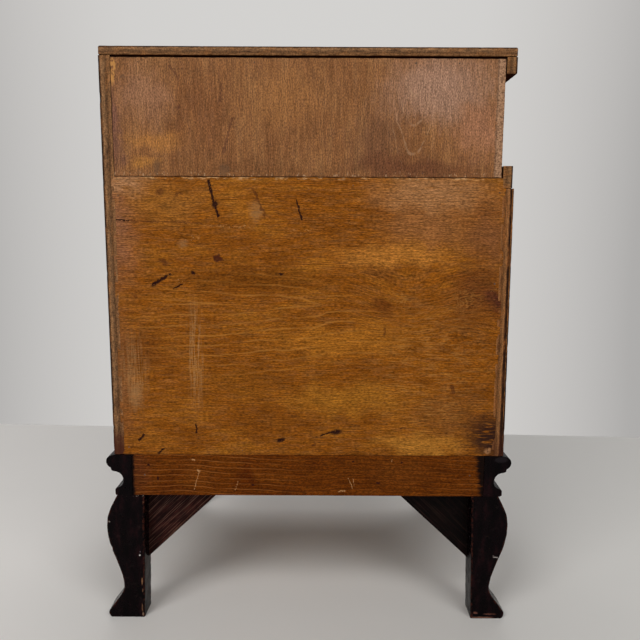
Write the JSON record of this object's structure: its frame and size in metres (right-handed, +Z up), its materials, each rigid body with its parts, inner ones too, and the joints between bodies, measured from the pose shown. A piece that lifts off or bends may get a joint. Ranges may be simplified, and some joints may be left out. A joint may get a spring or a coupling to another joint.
{
  "type": "miniature chest of drawers",
  "caption": "Miniature wooden chest of drawers on a moulded base with cabriole legs, a nailed back and an open window high in its left side.",
  "frame": {"origin": "on the floor, under the middle of the bounding box", "axes": "+Z up, -Y towards the drawer fronts, +Y towards the nailed back, +X to the right as seen from the front"},
  "size_m": [0.2484, 0.196, 0.3446],
  "materials": {
    "dark_stain": "satin",
    "top_stain": "satin",
    "upper_back_wood": "satin",
    "lower_back_wood": "satin",
    "raw_wood": "matte",
    "drawer_wood": "matte",
    "drawer_front_stain": "gloss",
    "black_paint": "gloss",
    "brace_wood": "satin"
  },
  "bodies": {
    "case": {"right_side_board": "dark_stain", "left_side_board": "dark_stain", "left_side_facing": "dark_stain", "left_mid_rail": "dark_stain", "left_top_rail": "dark_stain", "left_front_post": "dark_stain", "front_top_rail": "dark_stain", "front_mid_rail": "dark_stain", "upper_front_divider": "dark_stain", "lower_front_divider": "dark_stain", "top_board": "top_stain", "upper_back_panel": "upper_back_wood", "lower_back_panel": "lower_back_wood", "base_back_rail": "lower_back_wood", "bottom_board": "raw_wood", "third_left_runner": "raw_wood", "third_right_runner": "raw_wood", "second_left_runner": "raw_wood", "second_right_runner": "raw_wood", "top_left_runner": "raw_wood", "top_right_runner": "raw_wood", "left_base_moulding": "black_paint", "right_base_moulding": "black_paint", "front_base_moulding": "black_paint", "rear_left_leg": "black_paint", "rear_right_leg": "black_paint", "front_left_leg": "black_paint", "front_right_leg": "black_paint", "rear_left_brace": "brace_wood", "rear_right_brace": "brace_wood", "front_left_brace": "brace_wood", "front_right_brace": "brace_wood"},
    "bottom_drawer": {"bottom_drawer_front": "drawer_front_stain", "bottom_drawer_left_side": "drawer_wood", "bottom_drawer_right_side": "drawer_wood", "bottom_drawer_back": "drawer_wood", "bottom_drawer_bottom": "drawer_wood", "bottom_drawer_left_knob": "black_paint", "bottom_drawer_right_knob": "black_paint"},
    "third_drawer": {"third_drawer_front": "drawer_front_stain", "third_drawer_left_side": "drawer_wood", "third_drawer_right_side": "drawer_wood", "third_drawer_back": "drawer_wood", "third_drawer_bottom": "drawer_wood", "third_drawer_left_knob": "black_paint", "third_drawer_right_knob": "black_paint"},
    "second_drawer": {"second_drawer_front": "drawer_front_stain", "second_drawer_left_side": "drawer_wood", "second_drawer_right_side": "drawer_wood", "second_drawer_back": "drawer_wood", "second_drawer_bottom": "drawer_wood", "second_drawer_left_knob": "black_paint", "second_drawer_right_knob": "black_paint"},
    "top_drawer": {"top_drawer_front": "drawer_front_stain", "top_drawer_left_side": "drawer_wood", "top_drawer_right_side": "drawer_wood", "top_drawer_back": "drawer_wood", "top_drawer_bottom": "drawer_wood", "top_drawer_left_knob": "black_paint", "top_drawer_right_knob": "black_paint"}
  },
  "joints": [
    {"name": "bottom_drawer_slide", "type": "slide", "parent": "case", "child": "bottom_drawer", "axis": [0, -1, 0], "range_m": [0, 0.125]},
    {"name": "third_drawer_slide", "type": "slide", "parent": "case", "child": "third_drawer", "axis": [0, -1, 0], "range_m": [0, 0.125]},
    {"name": "second_drawer_slide", "type": "slide", "parent": "case", "child": "second_drawer", "axis": [0, -1, 0], "range_m": [0, 0.125]},
    {"name": "top_drawer_slide", "type": "slide", "parent": "case", "child": "top_drawer", "axis": [0, -1, 0], "range_m": [0, 0.125]}
  ]
}
